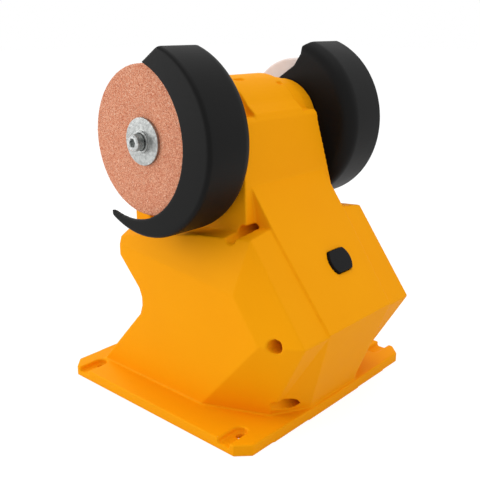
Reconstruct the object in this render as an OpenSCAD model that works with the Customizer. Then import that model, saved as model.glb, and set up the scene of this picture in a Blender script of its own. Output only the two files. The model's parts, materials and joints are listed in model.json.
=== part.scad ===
// Cordless twin-wheel bench grinder, built from separate parts.
// Millimetres, +Z up. The wheel axis runs along X. The sloped face with the
// push button looks to -Y and the wheels are worked from the +Y side.
// The origin is the middle of the base's underside.

/* [Base plate] */

// Base size along the wheel axis
base_w = 151; // [149:1:156]

// Base size from front to back
base_d = 142.4; // [140:0.2:146]

// Base thickness
base_t = 6; // [5:0.5:7]

// How far the two long edges bow out at the middle
base_bow = 1.3; // [0.5:0.1:2]

// Corner chamfer of the base
base_chamfer = 7; // [4:0.5:8]

// Bench screw spacing along the wheel axis
bolt_x = 126; // [124:1:130]

// Bench screw spacing from front to back
bolt_y = 115; // [113:0.5:117]

// Diameter of the bench screw holes
bolt_d = 4.4; // [4:0.1:5]

// Width of the pocket round each bench screw
pocket_w = 7.6; // [7.2:0.1:8.4]

// Material left under each pocket
pocket_floor = 3; // [2.5:0.1:3.5]

/* [Body] */

// Wall thickness of the housing
wall = 2.6; // [2.2:0.1:3]

// Width across the flat sides
side_w = 115; // [112:0.5:118]

// Width across the shoulders
shoulder_w = 97.2; // [95:0.2:99]

// Height of the shoulders at their outer edge
shoulder_z = 102.2; // [101.4:0.2:103]

// Front edge of the shoulders, from the middle
shoulder_y = 51.7; // [51:0.1:52.4]

// Rise of the shoulders towards the neck
shoulder_rise = 2; // [1:0.2:3]

// Fall of the shoulders from front to back
shoulder_fall = 8; // [7:0.5:9]

// Width of the facet behind each shoulder
tail_w = 8.1; // [7:0.1:9]

// Drop of the facet behind each shoulder
tail_drop = 3.3; // [2.5:0.1:4]

// Reach of the front overhang, from the middle
lip_y = 86.5; // [85:0.1:88]

// Height of the front overhang
lip_z = 54.2; // [52:0.2:56]

// Front corner of each flat side, from the middle
peak_y = 47.8; // [46.5:0.1:49]

// Height of the front corner of each flat side
peak_z = 75; // [73:0.5:77]

// Height of each flat side at the back
crease_z = 83.6; // [82:0.2:85]

// Foot of the side facet, from the middle
side_foot_y = 24; // [22:0.5:26]

// Foot of the front corner ridge, across
ridge_foot_x = 41.8; // [40:0.2:44]

// Foot of the front corner ridge, from the middle
ridge_foot_y = 59.6; // [58.6:0.1:60.6]

// Width of the front spine at the base
spine_foot_w = 41.8; // [40:0.2:44]

// Reach of the front spine at the base
spine_foot_y = 70.3; // [69.4:0.1:70.8]

// Width of the raised front panel at the overhang
panel_foot_w = 57.4; // [55:0.2:59]

// Height of the raised front panel above the slope
panel_raise = 1.2; // [0.8:0.1:1.6]

// Back face of the shoulders, from the middle
back_y = 39.9; // [39:0.1:41]

// Height of the back overhang
back_z = 77.6; // [76:0.2:79]

// Depth line of the waist, from the middle
waist_y = 22.4; // [21.6:0.1:23.4]

// Foot of the back slope, from the middle
back_foot_y = 60.3; // [59.5:0.1:61.5]

/* [Neck and barrel] */

// Width of the neck
neck_w = 63; // [62.6:0.1:63.4]

// Width of the flared neck at the shoulders
neck_foot_w = 79; // [76:0.2:79.4]

// Top front edge of the neck, from the middle
neck_top_y = 31.7; // [31.2:0.1:32.4]

// Height of the ledge on the neck
neck_top_z = 155.5; // [154.5:0.1:156.5]

// Bend between slope and neck, from the middle
neck_bend_y = 37.2; // [36.8:0.1:37.8]

// Back of the neck at the shoulders, from the middle
neck_back_y = 31.3; // [30.8:0.1:32]

// Width of the neck's root along the back
root_w = 88.4; // [86:0.2:90]

// Height of the neck's root along the back
root_z = 104; // [103:0.2:105]

// Height of the wheel axis
axis_z = 148; // [147:0.1:149]

// Radius of the barrel round the motor
barrel_r = 28.9; // [28.6:0.1:29.4]

// Radius of the stepped barrel ends
barrel_end_r = 26.2; // [26:0.1:26.4]

// Length of the barrel between its steps
barrel_len = 40; // [38:0.5:41]

// Radius of the round collar between the neck and each guard
collar_r = 24.8; // [24.4:0.1:25.2]

/* [Wheels] */

// Diameter of the grinding wheel
wheel_d = 75; // [70:0.5:76]

// Thickness of the grinding wheel
wheel_t = 13; // [12:0.5:13.2]

// Diameter of the polishing wheel
polish_d = 72.4; // [68:0.2:75]

// Thickness of the polishing wheel
polish_t = 19.5; // [18:0.1:20]

// Outer face of each wheel, from the middle
wheel_face = 69.5; // [69:0.1:70]

// Diameter of the wheel bore and the spindle end
bore_d = 10; // [9:0.1:11]

// Diameter of the clamping washers
washer_d = 23.8; // [22:0.1:26]

// Thickness of the outer washers
washer_t = 1.6; // [1.2:0.1:2]

// Thickness of the inner flanges
flange_t = 3; // [2.5:0.1:3.5]

// Head diameter of the arbor screws
arbor_head_d = 8.5; // [8:0.1:9.5]

// Head height of the arbor screws
arbor_head_h = 6; // [5.5:0.1:7]

/* [Guards] */

// Outer radius of the guard rim
guard_r = 48.7; // [48.2:0.1:49.2]

// Rounding between rim and outer lip
guard_edge = 2; // [1.5:0.1:2.4]

// Thickness of the guard rim
guard_rim_t = 3; // [2.4:0.1:3.4]

// Thickness of the inner plate and the outer lip
guard_plate_t = 2.4; // [2:0.1:2.8]

// Inner face of the guard, from the middle
guard_in = 40.8; // [40.2:0.1:41.4]

// Gap between wheel face and outer lip
lip_gap = 0.8; // [0.6:0.1:1.2]

// Rounding between inner plate and rim
guard_round = 8; // [7:0.5:9]

// Radius of the opening in the outer lip
lip_r = 40.7; // [40:0.1:41.4]

// Offset of the lip opening towards the work
lip_shift = 10; // [9:0.1:11]

// Tilt of the cuts across the top of the guard, in degrees
cut_tilt = 33; // [31:0.5:35]

// Distance of the cut across rim and lip from the wheel axis
rim_cut = 30; // [29:0.1:31]

// Distance of the cut across the inner plate from the wheel axis
plate_cut = 23.4; // [23:0.1:24]

// Reach of the lower horn towards the work
horn_y = 24.5; // [23.5:0.1:25.5]

/* [Motor] */

// Outer radius of the motor can
can_r = 22; // [21.6:0.1:22.2]

// Gap between the motor's end caps and the end walls of the neck
motor_gap = 2.4; // [2.2:0.1:2.8]

// Outer radius of the bearings
bearing_r = 11; // [10.6:0.1:11.4]

// Width of the bearings
bearing_w = 7; // [6.5:0.1:7]

// Radius of the rotor
rotor_r = 15.5; // [15:0.1:15.8]

// Radius of the spindle inside the motor
shaft_r = 4; // [3.8:0.1:4.1]

/* [Button] */

// Diameter of the push button
button_d = 17; // [16:0.1:17.6]

// Distance between the flats of the push button
button_flat = 12.6; // [12:0.1:13.2]

// Offset of the button from the middle
button_x = 5.5; // [4.5:0.1:6.5]

// Distance of the button above the overhang, along the slope
button_up = 33.6; // [32:0.1:35]

// How far the button stands out of the panel
button_proud = 1.4; // [1:0.1:1.8]

// Travel of the push button
button_travel = 1.8; // [1.4:0.1:2]

// Play round the push button
button_play = 0.3; // [0.25:0.05:0.4]

/* [Battery dock] */

// Length of the dock plate and its rails, across the back
dock_w = 75; // [73:0.5:77]

// Closed end of the dock, from the middle
dock_end = 31; // [30:0.5:32]

// Thickness of the dock plate
dock_t = 3; // [2.6:0.1:3.4]

// Clear width between the dock rails
rail_gap = 40; // [39:0.5:42]

// Height of the dock rails
rail_h = 7; // [6.5:0.1:8]

/* [Control board] */

// Board size across
board_w = 40; // [37:0.5:40]

// Board size from front to back
board_d = 38; // [36:0.5:38]

// Inner edge of the board, from the middle
board_x = 8; // [6:0.5:8]

// Front edge of the board, from the middle
board_y = 36; // [33:0.5:36]

/* [Hidden] */

$fn = 64;
big = 300;
fit = 0.05;

// The wheel axis stands over the middle of the base
axis_y = 0;

function unit(v) = v / norm(v);
function facing(n, out) = (n * out < 0) ? -n : n;
function plane_n(a, b, c, out) = facing(unit(cross(b - a, c - a)), out);

// Corner points of the right side; the left side mirrors them
p_shoulder = [shoulder_w / 2, -shoulder_y, shoulder_z];
p_lip = [shoulder_w / 2, -lip_y, lip_z];
p_peak = [side_w / 2, -peak_y, peak_z];
p_crease = [side_w / 2, back_y - 4, crease_z];
p_side_foot = [side_w / 2, -side_foot_y, base_t];
p_ridge_foot = [ridge_foot_x, -ridge_foot_y, base_t];
p_spine_foot = [spine_foot_w / 2, -spine_foot_y, base_t];
p_panel_foot = [panel_foot_w / 2, -lip_y, lip_z];

// Outward directions of the facets
n_slope = unit([0, lip_z - shoulder_z, lip_y - shoulder_y]);
t_slope = [0, -n_slope[2], n_slope[1]];
n_under = unit([0, base_t - lip_z, ridge_foot_y - lip_y]);
n_front = plane_n(p_shoulder, p_lip, p_peak, [1, 0, 0]);
n_low = plane_n(p_lip, p_ridge_foot, p_side_foot, [1, 0, 0]);
n_high = plane_n(p_shoulder, p_peak, p_crease, [1, 0, 0]);
n_top = plane_n(p_shoulder, p_shoulder + [(neck_w - shoulder_w) / 2, 0, shoulder_rise],
    p_shoulder + [0, back_y + shoulder_y, -shoulder_fall], [0, 0, 1]);
n_tail = plane_n(top_pt(root_w / 2, back_y), top_pt(root_w / 2 + tail_w, back_y) - [0, 0, tail_drop],
    top_pt(shoulder_w / 2, 0), [0, 0, 1]);
n_spine = unit([0, base_t - lip_z, spine_foot_y - lip_y]);
n_cheek = plane_n(p_panel_foot, p_spine_foot, p_ridge_foot, [1, 0, 0]);

// Point on the top of the right shoulder
function top_pt(x, y) = [x, y, shoulder_z
    - (n_top[0] * (x - p_shoulder[0]) + n_top[1] * (y - p_shoulder[1])) / n_top[2]];

// Slope of the raised front panel
slope_k = (shoulder_z - lip_z) / (lip_y - shoulder_y);
panel_up = panel_raise / n_slope[2];
neck_bend_z = shoulder_z + panel_up + (shoulder_y - neck_bend_y) * slope_k;

// Lean of the neck's front line, height where the flare's sides come 1 mm inside the neck,
// and clearance round the guard hubs
neck_lean = (neck_bend_y - neck_top_y) / (neck_top_z - neck_bend_z);
flare_z = neck_top_z + 2.5;
hub_gap = 0.6;

// Nicks in the barrel: middle along the spindle, turn to the front and length
nicks = [[-10, 19.5, 7], [17, 33, 3.6]];
nick_w = 2.6;
nick_deep = 1.4;

// Sloped front edge on the neck's top: depth and rise
ledge_in = 1.8;
ledge_rise = 2;

// Apron from the barrel's middle band to that edge: turn where it starts and rise at the edge
apron_turn = 57;
apron_rise = 3.5;

// Gap between each collar and the guard's inner face
collar_gap = 0.5;

// Front of the neck's root, from the middle, its rise towards the neck and its depth in the block
root_y = 27;
root_rise = 2;
root_deep = 14;

// Waist between the back overhang and the back slope: heights of its corners
waist_zs = [61, 56, 51];
waist_out = 1.9;

// Back slope that carries the dock
back_top = [waist_y + waist_out, 45.5];
back_foot = [back_foot_y, base_t];
back_len = norm(back_foot - back_top);
back_tilt = atan2(back_top[1] - back_foot[1], back_foot[0] - back_top[0]);

// Wheel stack along the axis, from the middle outwards
wheel_in = wheel_face - wheel_t;
polish_in = wheel_face - polish_t;
washer_out = wheel_face + washer_t;
lip_in = wheel_face + lip_gap;
guard_out = lip_in + guard_plate_t;
end_wall = neck_w / 2 - wall;
cap_t = 2.5;
can_half = end_wall - motor_gap - cap_t;
bearing_in = can_half + 3;
bearing_out = bearing_in + bearing_w;
boss_r = bearing_r + 3;
hub_bore = boss_r + 1;
hub_r = hub_bore + 7;
thread_r = 2.5;
thread_len = 12;
arbor_hex_r = 2.3;
arbor_hex_deep = 3;

// Guard fixing screws: radius of the circle and directions
guard_pcd_r = hub_bore + 3.5;
guard_dirs = [30, 150, 270];

// Housing screws: front to back position and height
housing_screw_pos = [[-39.2, 101.8], [-71.7, 53.5], [-64.9, 12.5], [25.3, 102.5]];
screw_hole_r = 3.75;
screw_r = 1.75;
screw_head_r = 3.4;
screw_seat = 14;
screw_len = 26;
tower_r = 5.6;

// Guard screws reach inwards to just outside the motor's end caps
guard_boss_in = can_half + cap_t + 0.3;
guard_boss_r = 3.4;
guard_screw_r = 1.25;
guard_head_r = 2.8;
guard_seat = guard_in + guard_plate_t - 4;

// Switch behind the front panel: width, height, distance behind the panel and depth
switch_w = 20;
switch_h = 13;
switch_top = 8.5;
switch_deep = 16;

// Stem of the button: radius, reach into the switch and room left behind it when pressed
stem_r = 2.5;
stem_in = 3;
stem_gap = 1.2;

// Dock on the back slope: its rails run along X, so the pack slides in from +X
rail_t = 3.5;
rail_lip = 3;
rail_lip_t = 2.2;
dock_len = rail_gap + 2 * rail_t;
dock_down = (back_len - dock_len) / 2;
dock_mid = back_len / 2;
dock_hole_in = 5;
dock_hole_d = rail_gap / 2 - 8;
dock_holes = [for (x = [dock_hole_in, dock_w - dock_hole_in]) for (d = [-dock_hole_d, dock_hole_d])
    [x - dock_end, dock_mid + d]];
dock_boss_r = 3.4;
dock_boss_deep = 10;
dock_screw_r = 1.25;
dock_head_r = 2.5;

// Terminal block near the closed end of the dock: start, length, width and inner depth
block_x = 13 - dock_end;
block_len = 11;
block_w = rail_gap - 8;
block_deep = 11;
blade_offsets = [-11, -4, 4, 11];

// Control board on its posts, in the right half
board_inset = 4;
board_t = 1.6;
board_pos = [for (x = [board_inset, board_w - board_inset])
    for (y = [board_inset, board_d - board_inset]) [board_x + x, y - board_y]];
board_z = base_t + 7;
board_top = board_z + board_t;
board_post_r = 3.2;
board_screw_r = 1.05;

// Point on the board's upper face
function board_pt(x, y, up) = [board_x + x, y - board_y, board_top + up];

// Commutator, coil ends and core along the axis, from the brush end to the drive end
comm_r = 7;
comm_out = can_half - 2.5;
comm_in = comm_out - 6.5;
coil_gap = 0.5;
coil_t = 4.5;
coil_r = 14;
core_from = coil_gap + coil_t - comm_in;
core_to = can_half - 12;
slot_mid_r = 10.5;
slot_r = 2.8;
magnet_over = 3;

// Brushes: start along the axis, width and height, reach and play in their holders
brush_x = 1 - comm_out;
brush_w = 3.5;
brush_h = 4;
brush_len = 8.7;
brush_play = 0.1;
holder_len = 8.2;
holder_from = comm_r + 2.5;
holder_to = comm_r + 9;

// Sides and radius of the wires
wire_sides = 8;
wire_r = 1.2;
tab_z = axis_z - 25;

orange = [0.97, 0.62, 0.08];
dark = [0.14, 0.14, 0.15];
steel = [0.72, 0.73, 0.75];
copper = [0.78, 0.43, 0.2];
brass = [0.8, 0.66, 0.3];

// Everything beyond a plane through p that faces along n
module beyond(p, n) {
    turn = atan2(n[1], n[0]);
    lift = atan2(n[2], norm([n[0], n[1]]));
    translate(p)
        rotate([0, -lift, turn])
            translate([0, -big / 2, -big / 2])
                cube(big);
}

// The same cut on both sides
module beyond_pair(p, n) {
    beyond(p, n);
    mirror([1, 0, 0])
        beyond(p, n);
}

// Outline in the YZ plane, drawn out along X by w on both sides together
module slab_x(pts, w) {
    translate([w / 2, 0, 0])
        rotate([90, 0, -90])
            linear_extrude(w)
                polygon([for (p = pts) [-p[0], p[1]]]);
}

// Tube or rod on the wheel axis between x0 and x1
module on_axis(x0, x1, r) {
    translate([x0, axis_y, axis_z])
        rotate([0, 90, 0])
            cylinder(r = r, h = x1 - x0);
}

module axis_ring(x0, x1, r0, r1) {
    translate([x0, axis_y, axis_z])
        rotate([0, 90, 0])
            difference() {
                cylinder(r = r1, h = x1 - x0);
                translate([0, 0, -1])
                    cylinder(r = r0, h = x1 - x0 + 2);
            }
}

// Rod along X at a given depth and height
module rod_x(x0, x1, y, z, r) {
    translate([x0, y, z])
        rotate([0, 90, 0])
            cylinder(r = r, h = x1 - x0);
}

// Faceted lower block; inset moves every face inwards
module lower_block(inset) {
    low = (inset > 0) ? base_t : base_t - 1;
    difference() {
        translate([-side_w / 2 + inset, -100, low])
            cube([side_w - 2 * inset, 180, shoulder_z + 10 - low]);
        beyond([0, -lip_y, lip_z] - inset * n_slope, n_slope);
        beyond([0, -lip_y, lip_z] - inset * n_under, n_under);
        beyond_pair(p_lip - inset * n_front, n_front);
        beyond_pair(p_lip - inset * n_low, n_low);
        beyond_pair(p_shoulder - inset * n_high, n_high);
        beyond_pair(p_shoulder - inset * n_top, n_top);
        beyond_pair(top_pt(root_w / 2, back_y) - inset * n_tail, n_tail);
        slab_x(back_outline(inset), side_w + 20);
    }
}

// Space behind the body: back face, overhang, waist and back slope
function back_outline(inset) = [for (p = [[back_y, 140], [back_y, back_z],
    [waist_y + waist_out, waist_zs[0]], [waist_y, waist_zs[1]], [waist_y, waist_zs[2]],
    back_top, back_foot, [back_foot_y, -20], [140, -20], [140, 140]])
    [p[0] - 1.35 * inset, p[1]]];

// Raised front panel, from the overhang up into the neck
module panel(inset) {
    low = lip_z - 3 + inset;
    side = unit([1, 0, (panel_foot_w - neck_w) / 2 / (shoulder_z - lip_z)]);
    difference() {
        translate([-neck_w / 2 + inset, -100, low])
            cube([neck_w - 2 * inset, 106 - neck_bend_y, neck_bend_z + 6 - inset - low]);
        beyond([0, -lip_y, lip_z] + (panel_raise - inset) * n_slope, n_slope);
        beyond([0, -lip_y, lip_z] - inset * n_spine, n_spine);
        beyond_pair(p_panel_foot - inset * side, side);
    }
}

// Undercut spine below the panel, with a slanted cheek on each side
module spine(inset) {
    low = (inset > 0) ? base_t : base_t - 1;
    half = ridge_foot_x - 2 * inset;
    difference() {
        translate([-half, -100, low])
            cube([2 * half, 50, lip_z - inset - low]);
        beyond([0, -lip_y, lip_z] - inset * n_spine, n_spine);
        beyond_pair(p_panel_foot - inset * n_cheek, n_cheek);
    }
}

// Neck between the shoulders and the barrel; its front line runs on inside the panel
module neck(inset, width) {
    low = shoulder_z - ((inset > 0) ? 16 : 8);
    up = neck_top_z - inset;
    foot_y = neck_top_y + neck_lean * (neck_top_z - low);
    slab_x([[1.05 * inset - foot_y, low], [1.05 * inset - neck_top_y, up],
        [1.05 * inset - neck_top_y + ledge_in, up + ledge_rise], [axis_y, up + ledge_rise],
        [axis_y + barrel_r - 1 - 2 * inset, up], [neck_back_y - inset, shoulder_z],
        [neck_back_y - inset, low]], width - 2 * inset);
}

// Root of the neck along the back of the shoulders
module neck_root(inset) {
    low = shoulder_z - root_deep - 2 * inset;
    slab_x([[root_y + inset, low], [root_y + inset, root_z + root_rise - inset],
        [back_y - inset, root_z - inset], [back_y - inset, low]], root_w - 2 * inset);
}

// Flare on both sides of the neck, clear of the guard hubs
module neck_flare() {
    foot = neck_foot_w / 2;
    difference() {
        intersection() {
            neck(0, neck_foot_w);
            rotate([90, 0, 0])
                linear_extrude(big, center = true)
                    polygon([[-foot, 0], [foot, 0], [foot, shoulder_z], [neck_w / 2 - 1, flare_z],
                        [1 - neck_w / 2, flare_z], [-foot, shoulder_z]]);
        }
        on_axis(neck_w / 2, foot + 1, hub_r + hub_gap);
        on_axis(-foot - 1, -neck_w / 2, hub_r + hub_gap);
    }
}

module barrel(inset) {
    on_axis(-neck_w / 2 + inset, neck_w / 2 - inset, barrel_end_r - inset);
    on_axis(-barrel_len / 2 + inset, barrel_len / 2 - inset, barrel_r - inset);
}

// Slope from the barrel's middle band down to the ledge
module barrel_apron() {
    slab_x([[axis_y, axis_z], [-neck_top_y, neck_top_z], [ledge_in - neck_top_y, neck_top_z + apron_rise],
        [axis_y - barrel_r * sin(apron_turn), axis_z + barrel_r * cos(apron_turn)]], barrel_len);
}

// Collars round the guard hubs, which carry the barrel's round ends up to the guards
module barrel_collars() {
    start = neck_w / 2 - 1;
    end = guard_in - collar_gap;
    for (s = [-1, 1])
        axis_ring((s > 0) ? start : -end, (s > 0) ? end : -start, hub_r + hub_gap, collar_r);
}

module base_plate() {
    x = base_w / 2;
    y = base_d / 2;
    c = base_chamfer;
    linear_extrude(base_t)
        polygon([[-x, c - y], [c - x, -y], [0, -y - base_bow], [x - c, -y], [x, c - y],
            [x, y - c], [x - c, y], [0, y + base_bow], [c - x, y], [-x, y - c]]);
}

module housing_outside() {
    base_plate();
    lower_block(0);
    panel(0);
    spine(0);
    neck(0, neck_w);
    neck_root(0);
    neck_flare();
    barrel(0);
    barrel_apron();
    barrel_collars();
}

module housing_inside() {
    lower_block(wall);
    panel(wall);
    spine(wall);
    neck(wall, neck_w);
    neck_root(wall);
    barrel(wall);
}

// Pockets and holes for the bench screws
module bench_screw_cuts() {
    for (sx = [-1, 1])
        for (sy = [-1, 1])
            translate([sx * bolt_x / 2, sy * bolt_y / 2, 0]) {
                translate([0, 0, -1])
                    cylinder(r = bolt_d / 2, h = base_t + 2);
                translate([0, 0, pocket_floor])
                    cylinder(r = pocket_w / 2, h = base_t);
                translate([(sx > 0) ? 0 : -20, -pocket_w / 2, pocket_floor])
                    cube([20, pocket_w, base_t]);
            }
}

// Point on the front panel: x across, up the slope and out of the panel
function panel_pt(x, up, out) = [x, -lip_y, lip_z] - up * t_slope + (panel_raise + out) * n_slope;

// Places children on the front panel, Z out of the panel, Y up the slope
module on_panel(x, up, out) {
    translate(panel_pt(x, up, out))
        rotate([atan2(-n_slope[1], n_slope[2]), 0, 0])
            children();
}

// Round button outline with flats at top and bottom
module button_form(r, flat, h) {
    intersection() {
        cylinder(r = r, h = h);
        translate([-2 * r, -flat / 2, -1])
            cube([4 * r, flat, h + 2]);
    }
}

// Point on the back slope: x across, down the slope and out of the slope
function back_pt(x, down, out) = [x,
    back_top[0] + down * cos(back_tilt) + out * sin(back_tilt),
    back_top[1] - down * sin(back_tilt) + out * cos(back_tilt)];

// Places children on the back slope, Z out of the slope, Y down the slope
module on_back(x, down, out) {
    translate(back_pt(x, down, out))
        rotate([-back_tilt, 0, 0])
            children();
}

// Ribs, posts and screw towers inside both halves
module housing_fittings() {
    for (s = [-1, 1])
        axis_ring((s > 0) ? can_half - 9 : 6 - can_half, (s > 0) ? can_half - 6 : 9 - can_half,
            can_r + fit, barrel_r - 1);
    for (p = housing_screw_pos)
        rod_x(-side_w / 2, side_w / 2, p[0], p[1], tower_r);
    for (s = [-1, 1])
        on_panel(button_x + s * (switch_w / 2 + 1.5 + fit) - 1.5, button_up - switch_h / 2,
            -switch_top - switch_deep)
            cube([3, switch_h, switch_top + switch_deep - 1]);
    for (p = board_pos)
        translate([p[0], p[1], base_t - 1])
            cylinder(r = board_post_r, h = board_z - base_t + 1);
    for (p = dock_holes)
        on_back(p[0], p[1], -dock_boss_deep)
            cylinder(r = dock_boss_r, h = dock_boss_deep);
    for (s = [-1, 1])
        for (a = guard_dirs)
            rod_x((s > 0) ? guard_boss_in : -neck_w / 2, (s > 0) ? neck_w / 2 : -guard_boss_in,
                axis_y + guard_pcd_r * cos(a), axis_z + guard_pcd_r * sin(a), guard_boss_r);
}

// Openings through the housing
module housing_cuts() {
    bench_screw_cuts();
    on_axis(-50, 50, boss_r + fit);
    for (p = housing_screw_pos) {
        rod_x(-80, -screw_seat, p[0], p[1], screw_hole_r);
        rod_x(-screw_seat - 1, screw_len, p[0], p[1], screw_r + fit);
    }
    on_panel(button_x, button_up, -20)
        button_form(button_d / 2 + button_play, button_flat + 2 * button_play, 30);
    on_panel(button_x - button_d / 2 - 2, button_up - button_flat / 2 - 2, -switch_top)
        cube([button_d + 4, button_flat + 4, switch_top - wall]);
    on_panel(button_x - switch_w / 2 - fit, button_up - switch_h / 2 - fit, -switch_top - 30)
        cube([switch_w + 2 * fit, switch_h + 2 * fit, switch_top + 30 - wall]);
    on_back(block_x - fit, dock_mid - block_w / 2 - fit, -block_deep)
        cube([block_len + 2 * fit, block_w + 2 * fit, 30]);
    for (p = dock_holes)
        on_back(p[0], p[1], 1 - dock_boss_deep)
            cylinder(r = dock_screw_r + fit, h = 30);
    for (p = board_pos)
        translate([p[0], p[1], base_t + 1])
            cylinder(r = board_screw_r + fit, h = 20);
    for (s = [-1, 1])
        for (a = guard_dirs)
            rod_x((s > 0) ? guard_boss_in - 1 : -50, (s > 0) ? 50 : 1 - guard_boss_in,
                axis_y + guard_pcd_r * cos(a), axis_z + guard_pcd_r * sin(a), guard_screw_r + fit);
    barrel_nicks();
}

// Shallow nicks on the front of the barrel
module barrel_nicks() {
    for (n = nicks)
        translate([n[0], axis_y, axis_z])
            rotate([n[1], 0, 0])
                translate([-n[2] / 2, -nick_w / 2, barrel_r - nick_deep])
                    cube([n[2], nick_w, 2 * nick_deep]);
}

module housing_half(s) {
    difference() {
        intersection() {
            union() {
                difference() {
                    housing_outside();
                    housing_inside();
                }
                intersection() {
                    housing_outside();
                    housing_fittings();
                }
            }
            translate([(s > 0) ? 0 : -big, -big / 2, -10])
                cube(big);
        }
        housing_cuts();
    }
}

module left_housing() {
    color(orange)
        housing_half(-1);
}

module right_housing() {
    color(orange)
        housing_half(1);
}

module housing_screws() {
    color(steel)
        for (p = housing_screw_pos)
            difference() {
                union() {
                    rod_x(-screw_seat - 2.6, -screw_seat, p[0], p[1], screw_head_r);
                    rod_x(-screw_seat - 0.5, screw_len - 2, p[0], p[1], screw_r);
                }
                rod_x(-screw_seat - 4, -screw_seat - 1, p[0], p[1], 1.5, $fn = 6);
            }
}

module motor_can() {
    color(steel)
        axis_ring(-can_half, can_half, can_r - 2, can_r);
}

// Two curved magnets inside the can
module motor_magnets() {
    color([0.3, 0.3, 0.32])
        difference() {
            axis_ring(core_from - magnet_over, core_to + magnet_over, rotor_r + 0.7,
                can_r - 2 - fit);
            for (s = [-1, 1])
                translate([-30, axis_y + s * 30 - 22, axis_z - 7])
                    cube([60, 44, 14]);
        }
}

// End cap with a bearing seat, for the +X end
module end_cap() {
    difference() {
        union() {
            on_axis(can_half, can_half + cap_t, can_r);
            axis_ring(can_half - 2, can_half + 1, can_r - 4.5, can_r - 2 - fit);
            on_axis(can_half + 1, bearing_out, boss_r);
        }
        on_axis(bearing_in, bearing_out + 1, bearing_r + fit);
        on_axis(can_half - 1, bearing_in + 1, shaft_r + 0.6);
    }
}

module drive_cap() {
    color([0.75, 0.75, 0.72])
        end_cap();
}

module brush_cap() {
    color([0.75, 0.75, 0.72])
        mirror([1, 0, 0])
            end_cap();
}

module brush_holders() {
    color(brass)
        for (s = [-1, 1])
            difference() {
                translate([-can_half, axis_y + ((s > 0) ? holder_from : -holder_to), axis_z - 3.2])
                    cube([holder_len, holder_to - holder_from, 6.4]);
                translate([brush_x - brush_play, axis_y + s * holder_from - 10,
                    axis_z - brush_h / 2 - brush_play])
                    cube([brush_w + 2 * brush_play, 20, brush_h + 2 * brush_play]);
            }
}

module carbon_brushes() {
    color([0.2, 0.2, 0.2])
        for (s = [-1, 1])
            translate([brush_x, axis_y + ((s > 0) ? comm_r + 0.3 : -comm_r - 0.3 - brush_len),
                axis_z - brush_h / 2])
                cube([brush_w, brush_len, brush_h]);
}

// Flat tabs on the brush cap that take the motor wires
module motor_tabs() {
    color(brass)
        for (s = [-1, 1])
            translate([-can_half - cap_t - 1, axis_y + s * 9 - 2.4, tab_z])
                cube([1, 4.8, 10]);
}

module outer_races() {
    color(steel)
        for (s = [-1, 1])
            axis_ring((s > 0) ? bearing_in : -bearing_out, (s > 0) ? bearing_out : -bearing_in,
                bearing_r - 2, bearing_r);
}

module inner_races() {
    color(steel)
        for (s = [-1, 1])
            axis_ring((s > 0) ? bearing_in : -bearing_out, (s > 0) ? bearing_out : -bearing_in,
                shaft_r + fit, shaft_r + 2);
}

module bearing_balls() {
    gap = bearing_r - 4 - shaft_r;
    color(steel)
        for (s = [-1, 1])
            for (a = [0 : 45 : 315])
                translate([s * (bearing_in + bearing_w / 2),
                    axis_y + (shaft_r + 2 + gap / 2) * cos(a),
                    axis_z + (shaft_r + 2 + gap / 2) * sin(a)])
                    sphere(r = gap / 2 - fit);
}

module spindle() {
    end = wheel_face - 0.5;
    color(steel)
        difference() {
            union() {
                on_axis(flange_t - wheel_in, polish_in - flange_t, shaft_r);
                on_axis(flange_t - wheel_in, -bearing_out, bore_d / 2 + 1.5);
                on_axis(bearing_out, polish_in - flange_t, bore_d / 2 + 1.5);
                on_axis(-end, 1 + flange_t - wheel_in, bore_d / 2);
                on_axis(polish_in - flange_t - 1, end, bore_d / 2);
            }
            for (s = [-1, 1])
                on_axis((s > 0) ? end - thread_len - 2 : -end - 1,
                    (s > 0) ? end + 1 : thread_len + 2 - end, thread_r + fit);
        }
}

// Rotor stack with five winding slots
module rotor_core() {
    color([0.45, 0.45, 0.48])
        difference() {
            axis_ring(core_from, core_to, shaft_r + fit, rotor_r);
            for (a = [0 : 72 : 288])
                translate([-can_half, axis_y, axis_z])
                    rotate([a, 0, 0]) {
                        translate([0, slot_mid_r, 0])
                            rotate([0, 90, 0])
                                cylinder(r = slot_r, h = 2 * can_half);
                        translate([0, slot_mid_r, -0.8])
                            cube([2 * can_half, 10, 1.6]);
                    }
        }
}

// Copper bars in the slots, joined by a ring at each end
module rotor_windings() {
    color(copper) {
        for (a = [0 : 72 : 288])
            translate([core_from - 1, axis_y, axis_z])
                rotate([a, 0, 0])
                    translate([0, slot_mid_r, 0])
                        rotate([0, 90, 0])
                            cylinder(r = slot_r - 0.1, h = core_to - core_from + 2);
        axis_ring(core_from - coil_t, core_from - fit, shaft_r + 2, coil_r);
        axis_ring(core_to + fit, core_to + coil_t + coil_gap, shaft_r + 2, coil_r);
    }
}

module commutator() {
    color(copper)
        difference() {
            axis_ring(-comm_out, -comm_in, shaft_r + fit, comm_r);
            for (a = [0 : 36 : 324])
                translate([-comm_out - 0.5, axis_y, axis_z])
                    rotate([a, 0, 0])
                        translate([0, comm_r - 0.6, -0.3])
                            cube([5.5, 2, 0.6]);
        }
}

module inner_flanges() {
    color(steel) {
        axis_ring(-wheel_in, flange_t - wheel_in, bore_d / 2 + fit, washer_d / 2);
        axis_ring(polish_in - flange_t, polish_in, bore_d / 2 + fit, washer_d / 2);
    }
}

module grinding_wheel() {
    color([0.85, 0.58, 0.47])
        axis_ring(-wheel_face, -wheel_in, bore_d / 2 + fit, wheel_d / 2);
}

module polishing_wheel() {
    color([0.88, 0.83, 0.8])
        axis_ring(polish_in, wheel_face, bore_d / 2 + fit, polish_d / 2);
}

module outer_washers() {
    color(steel)
        for (s = [-1, 1])
            axis_ring((s > 0) ? wheel_face : -washer_out, (s > 0) ? washer_out : -wheel_face,
                thread_r + 0.2, washer_d / 2);
}

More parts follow.
